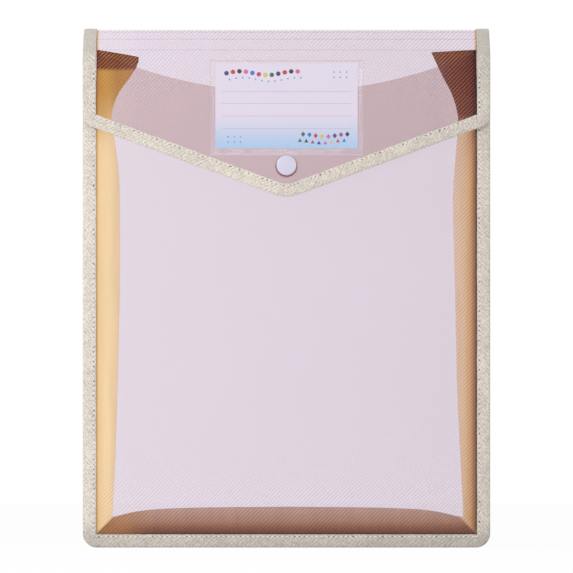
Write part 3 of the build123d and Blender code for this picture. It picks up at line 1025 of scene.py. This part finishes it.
def front_place(x, s):
    """Point and normal at distance s up the front film, which bends back smoothly at the mouth."""
    bend_length = mouth_bend_radius * mouth_lean
    start = mouth_start - bend_length / 2
    ease = ripple(x, s) * max(0.0, 1 - (abs(x) / seam_x) ** 4)
    if s <= start:
        return Vector((x, front_y + ease, s)), Vector((0, -1, 0))
    turn = min(mouth_lean, (s - start) / mouth_bend_radius)
    y = front_y + mouth_bend_radius * (1 - math.cos(turn))
    z = start + mouth_bend_radius * math.sin(turn)
    rest = max(0.0, s - start - bend_length)
    y += rest * math.sin(mouth_lean)
    z += rest * math.cos(mouth_lean)
    return Vector((x, y, z)), Vector((0, -math.cos(turn), math.sin(turn)))


def front_top(x):
    """Distance up the film at which its curved top edge lies."""
    sagitta = mouth_corner - mouth_low
    radius = (half_width**2 + sagitta**2) / (2 * sagitta)
    z = mouth_low + radius - math.sqrt(radius**2 - x * x)
    return mouth_start + (z - mouth_start) / math.cos(mouth_lean)


def press_flat(piece):
    """Gives a piece its own copy of its mesh."""
    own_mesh(piece)


front_sheet = plate("front_sheet", columns(film_half_width, 48), bag_bottom, front_top, front_place, 90)
dress(front_sheet, pearl_film, "front", "pearl_film", "front_panel", "front_mouth_panel")
press_flat(front_sheet)


def wing_tape(side, mark, count=26):
    """Tape up the leaning side of the front sheet."""
    rings, uvs = [], []
    x_edge = side * half_width
    top = front_top(film_half_width)
    for i in range(count + 1):
        s = wing_tape_bottom + (top - wing_tape_bottom) * i / count
        point, normal = front_place(x_edge, s)
        centre = Vector((x_edge, point.y, point.z)) - normal * film / 2
        ring, ways = tape_ring(centre, Vector((-side, 0, 0)), normal, bag_half, 0.0)
        rings.append(ring)
        uvs.append([(s, way) for way in ways])
    wing = swept(f"wing_tape_{mark}", rings, uvs)
    dress(wing, cream_tape, "front", "binding_tape", "front_mouth_tapes")
    press_flat(wing)


for side, mark in SIDES:
    wing_tape(side, mark)

# Gusset: one pleated strip down the sides and along the bottom

# How far the gusset shows in from the tape, in mm, at heights (sides) or distances from the middle (bottom)
LEFT_STRIP = [
    (16, 10.5), (49, 12.2), (157, 14.9), (220, 14.9), (240, 14.2), (260, 11.6),
    (276, 9.7), (290, 13.5), (302, 21), (311, 26), (317, 27),
]
RIGHT_STRIP = [
    (16, 8.8), (93, 12.4), (157, 13.7), (220, 15), (250, 13.2), (271, 11.8),
    (286, 15), (301, 22), (317, 29),
]
BOTTOM_STRIP = [(0, 17.2), (60, 16.7), (92, 15.6), (105, 14.1), (113, 12.5), (121, 10.5)]


def along_table(table, at):
    """A smooth value through the measured ones."""
    at /= MM
    at = min(max(at, table[0][0]), table[-1][0])
    for i in range(len(table) - 1):
        (a, va), (b, vb) = table[i], table[i + 1]
        if at <= b:
            before, after = table[max(i - 1, 0)], table[min(i + 2, len(table) - 1)]
            slope_a = (vb - before[1]) / (b - before[0])
            slope_b = (after[1] - va) / (after[0] - a)
            t, run = (at - a) / (b - a), b - a
            rise = (2 * t**3 - 3 * t**2 + 1) * va + (t**3 - 2 * t**2 + t) * run * slope_a
            return (rise + (3 * t**2 - 2 * t**3) * vb + (t**3 - t**2) * run * slope_b) * MM
    return table[-1][1] * MM


def mouth_front_y(z):
    """Depth of the front seam at a height: it leans back above the mouth's start."""
    return front_seam_y + max(0.0, z - mouth_start) * math.tan(mouth_lean)


gusset_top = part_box("gusset_left_mouth")[1][2]
side_rows, bottom_rows = 90, 60
half_pleat = 12
corner_strip = 10.5 * MM
down_side = [gusset_top + (tape_width - gusset_top) * i / side_rows for i in range(side_rows + 1)]
up_side = [gusset_top + (tape_width - gusset_top) * (1 - i / side_rows) for i in range(side_rows + 1)]
across = [-seam_x + 2 * seam_x * i / bottom_rows for i in range(1, bottom_rows)]
runs = {"left": down_side, "bottom": across, "right": up_side}
stations = [(kind, at) for kind, places in runs.items() for at in places]


def pleat_points(kind, at):
    """Back seam, fold and front seam of the pleat at one station."""
    if kind == "bottom":
        strip = along_table(BOTTOM_STRIP, abs(at))
        back = Vector((at, back_seam_y, tape_width))
        front = Vector((at, front_seam_y, tape_width))
        fold_x = at * (seam_x - corner_strip) / seam_x
        fold = Vector((fold_x, (back_seam_y + front_seam_y) / 2, tape_width + strip))
        return back, fold, front
    side = -1 if kind == "left" else 1
    strip = along_table(LEFT_STRIP if side < 0 else RIGHT_STRIP, at)
    front_y_here = mouth_front_y(at)
    back = Vector((side * seam_x, back_seam_y, at))
    front = Vector((side * seam_x, front_y_here, at))
    share = (at - tape_width) / (gusset_top - tape_width)
    droop = 4.5 * MM if side < 0 else 1.5 * MM
    low_fold, high_fold = tape_width + corner_strip, gusset_top - droop
    fold_z = low_fold + (high_fold - low_fold) * share
    fold = Vector((side * (seam_x - strip), (back_seam_y + front_y_here) / 2, fold_z))
    return back, fold, front


OUTWARD = {"bottom": Vector((0, 0, -1)), "left": Vector((-1, 0, 0)), "right": Vector((1, 0, 0))}


def pleat_row(kind, at):
    """Points from the back seam over the fold to the front seam, with leaves that bow a little."""
    back, fold, front = pleat_points(kind, at)
    row = []
    for k in range(2 * half_pleat + 1):
        t = abs(k / half_pleat - 1)
        seam = back if k < half_pleat else front
        crease = max(0.0, 1 - t * half_pleat / 1.5)
        bow = 1.1 * MM * math.sin(math.pi * t) - 0.5 * MM * crease
        row.append(fold.lerp(seam, t) - OUTWARD[kind] * bow * 0.7)
    return row


grid = [pleat_row(kind, at) for kind, at in stations]
rows, width_count = len(grid), 2 * half_pleat + 1
vertices = [p for row in grid for p in row]
faces = []
for i in range(rows - 1):
    for k in range(width_count - 1):
        a = i * width_count + k
        faces.append((a, a + 1, a + width_count + 1, a + width_count))
gusset = new_object("gusset_sheet", vertices, faces)
outward(gusset)
thick = gusset.modifiers.new("thickness", "SOLIDIFY")
thick.thickness = film * 0.8
thick.offset = 0
dress(
    gusset, amber_film, "back", "amber_film",
    "gusset_left_back", "gusset_left_front", "gusset_right_back", "gusset_right_front",
    "gusset_bottom_back", "gusset_bottom_front", "gusset_left_mouth", "gusset_right_mouth",
)
press_flat(gusset)


def finish_node(name, material):
    """Gives a CAD node that stays in view its material."""
    node = frame["nodes"][name]
    node.data.materials.clear()
    node.data.materials.append(material)


for name in ("gusset_back_seam", "gusset_front_seam"):
    finish_node(name, amber_film)

# Snap

cap_low, cap_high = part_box("snap_cap")
cap_radius = (cap_high[0] - cap_low[0]) / 2
cap_rise = flap_front_y - cap_low[1]
cap_rim = 0.7 * MM
cap_steps = 12
crown_share = 0.9355
crown_start = 5.5


def cap_profile():
    """The snap cap's outline from its foot over its shoulder to its crown, as (radius, forward)."""
    profile = [(0, 0), (cap_radius * 0.96, 0), (cap_radius, 0.25 * MM), (cap_radius, cap_rim)]
    for i in range(1, cap_steps):
        a = math.pi / 2 * i / cap_steps
        if i < crown_start:
            share = 0.78 + 0.22 * math.cos(a)
        else:
            share = crown_share * (1 - ((i - crown_start) / (cap_steps - crown_start)) ** 1.4)
        profile.append((cap_radius * share, cap_rim + (cap_rise - cap_rim) * math.sin(a) ** 0.8))
    return profile + [(0, cap_rise)]


cap = lathe("snap_dome", cap_profile(), (0, flap_front_y, snap_z))
dress(cap, pearl_plastic, "flap", "pearl_plastic", "snap_cap")
for name in ("snap_socket", "snap_stud", "snap_stud_cap"):
    finish_node(name, pearl_plastic)

# Label: card, its print and the clear pocket

card_height = card_high[2] - card_low[2]


def card_material():
    """Pale lavender card that turns light blue towards its bottom edge."""
    n = Nodes("label_card")
    (_, _, z), coords = n.xyz()
    level = n.smooth(z, card_low[2] - 0.004, card_low[2] + card_height * 0.45)
    colour = n.mix_color(level, (0.35, 0.54, 0.76), (0.7, 0.65, 0.74))
    fibre = n.noise(coords, 700)
    colour = n.mix_color(n.product(fibre, 0.08), colour, (0.5, 0.5, 0.6))
    paper = n.add("ShaderNodeBsdfPrincipled")
    n.link(colour, paper.inputs["Base Color"])
    paper.inputs["Roughness"].default_value = 0.7
    n.link(paper.outputs[0], n.output.inputs[0])
    return n.material


finish_node("label_card", card_material())
finish_node("label_pocket", clear_pocket)

INKS = {
    "navy": (0.03, 0.02, 0.2),
    "red": (0.5, 0.03, 0.03),
    "rose": (0.45, 0.03, 0.15),
    "pink": (0.55, 0.12, 0.3),
    "green": (0.01, 0.13, 0.08),
    "yellow": (0.6, 0.5, 0.06),
    "blue": (0.03, 0.16, 0.55),
    "sky": (0.08, 0.35, 0.65),
    "black": (0.01, 0.01, 0.015),
    "line": (0.5, 0.44, 0.55),
}


def print_mesh(name, shapes, ink):
    """Thin printed shapes on the card's front face. Each shape is a list of (x, z) corners."""
    vertices, faces = [], []
    face_y = card_low[1] - 0.02 * MM
    for shape in shapes:
        base = len(vertices)
        count = len(shape)
        for y in (face_y, card_low[1]):
            vertices += [Vector((x, y, z)) for x, z in shape]
        faces.append(tuple(range(base, base + count)))
        faces.append(tuple(range(base + 2 * count - 1, base + count - 1, -1)))
        for i in range(count):
            j = (i + 1) % count
            faces.append((base + i, base + count + i, base + count + j, base + j))
    obj = new_object(name, vertices, faces, smooth=False)
    outward(obj)
    obj.data.materials.append(plain_material(f"ink_{ink}", INKS[ink], 0.6, grain=0.1))
    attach(obj, "card")


def disc(x, z, radius, sides=14):
    turns = [2 * math.pi * i / sides for i in range(sides)]
    return [(x + radius * math.cos(a), z + radius * math.sin(a)) for a in turns]


def bar(x0, x1, z, thick):
    return [(x0, z - thick / 2), (x1, z - thick / 2), (x1, z + thick / 2), (x0, z + thick / 2)]


def diamond(x, z, reach):
    return [(x, z + reach), (x + reach * 0.85, z), (x, z - reach), (x - reach * 0.85, z)]


def triangle(x, z, reach):
    return [(x - reach, z - reach * 0.8), (x + reach, z - reach * 0.8), (x, z + reach)]


def on_card(left, low):
    """A place on the card, from millimetres in from its left or, where negative, its right and top."""
    x = (card_low if left >= 0 else card_high)[0] + left * MM
    z = (card_low if low >= 0 else card_high)[2] + low * MM
    return x, z


line_inset = 4 * MM
line_drops = (18, 25.5, 33.5, 41.5)
rules = []
for drop in line_drops:
    z = card_high[2] - drop * MM
    rules.append(bar(card_low[0] + line_inset, card_high[0] - line_inset, z, 0.35 * MM))
print_mesh("card_rules", rules, "line")

order = ["navy", "red", "black", "pink", "blue", "rose", "yellow", "green", "sky"]
printed = {ink: [] for ink in order}
bright = 8
for i in range(12):
    rise = 1.2 * math.sin(i * 0.75)
    printed[order[i % bright]].append(disc(*on_card(7 + 4.1 * i, -6.4 + rise), 1.45 * MM))
    printed["sky"].append(disc(*on_card(9 + 4.1 * i, -10.4 + rise), 0.6 * MM, 8))
for i in range(8):
    rise = 0.8 * math.cos(i * 0.9)
    printed[order[(i * 3 + 2) % bright]].append(diamond(*on_card(-6.5 - 4 * i, 8.2 + rise), 1.7 * MM))
    printed[order[(i * 5 + 4) % bright]].append(triangle(*on_card(-8.5 - 4 * i, 4.3 + rise), 1.3 * MM))
for i in range(3):
    for k in range(2):
        printed["sky"].append(triangle(*on_card(-7 - 4 * i, -5.5 - 3.4 * k), 0.7 * MM))
        printed["sky"].append(disc(*on_card(8 + 4 * i, 4 + 3.4 * k), 0.55 * MM, 8))
for ink, shapes in printed.items():
    print_mesh(f"card_print_{ink}", shapes, ink)
